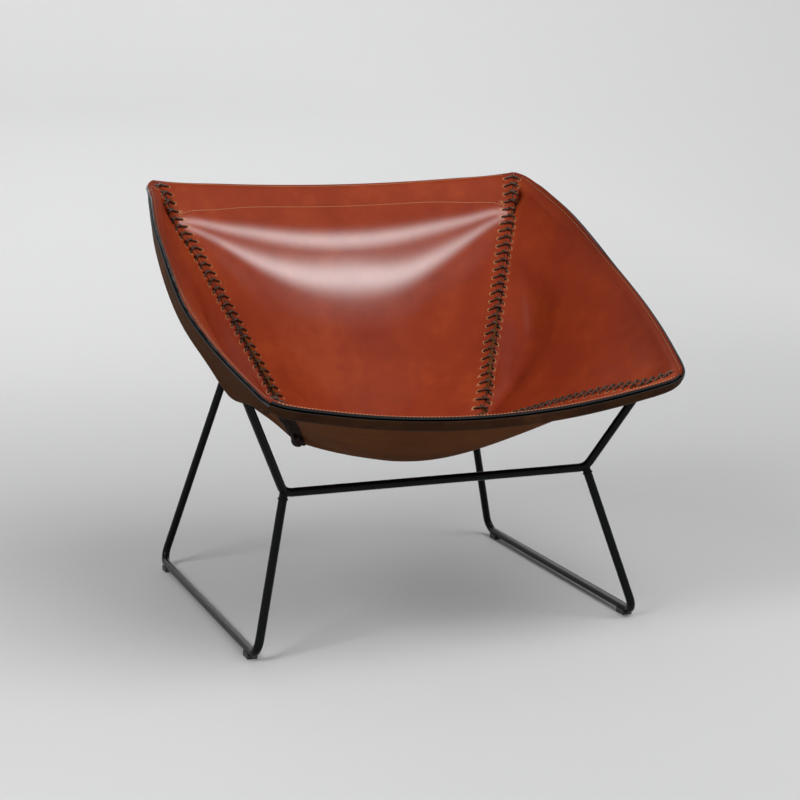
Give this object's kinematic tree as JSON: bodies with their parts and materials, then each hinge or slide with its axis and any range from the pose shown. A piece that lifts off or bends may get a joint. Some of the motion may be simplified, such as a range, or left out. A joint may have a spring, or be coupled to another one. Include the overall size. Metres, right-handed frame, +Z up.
{
  "type": "leather sling lounge chair",
  "caption": "Low lounge chair: a bowl of laced saddle leather panels hung by sewn sleeves from a bent steel tube ring on sled legs with U-shaped rods.",
  "frame": {"origin": "on the floor, under the middle of the whole chair's box", "axes": "+Z up; the sitter faces -Y, so the tall backrest is toward +Y; +X is on the right of someone looking at the chair's front"},
  "size_m": [0.841, 0.7848, 0.7584],
  "materials": {
    "frame_paint": "satin black paint on bent steel tube",
    "saddle_leather": "thick tan saddle leather, smooth and softly glossy, with dark painted cut edges",
    "strip_leather": "dark brown leather strip, matt",
    "lace_leather": "dark brown leather cord, waxed",
    "sewing_thread": "waxed tan sewing thread",
    "glide_plastic": "matt black moulded plastic"
  },
  "bodies": {
    "root": {"rim_ring": "frame_paint", "front_u_rod": "frame_paint", "rear_u_rod": "frame_paint", "left_sled_leg": "frame_paint", "right_sled_leg": "frame_paint", "left_front_glide": "glide_plastic", "right_front_glide": "glide_plastic", "left_rear_glide": "glide_plastic", "right_rear_glide": "glide_plastic", "centre_panel": "saddle_leather", "left_side_panel": "saddle_leather", "right_side_panel": "saddle_leather", "back_sleeve_strip": "strip_leather", "front_sleeve_strip": "strip_leather", "left_sleeve_strip": "strip_leather", "right_sleeve_strip": "strip_leather", "left_rear_lace": "lace_leather", "right_rear_lace": "lace_leather", "left_front_lace": "lace_leather", "right_front_lace": "lace_leather", "left_lace_knot": "lace_leather", "right_lace_knot": "lace_leather", "back_edge_thread": "sewing_thread", "back_hem_thread": "sewing_thread", "front_edge_thread": "sewing_thread", "left_edge_thread": "sewing_thread", "right_edge_thread": "sewing_thread"}
  },
  "joints": []
}
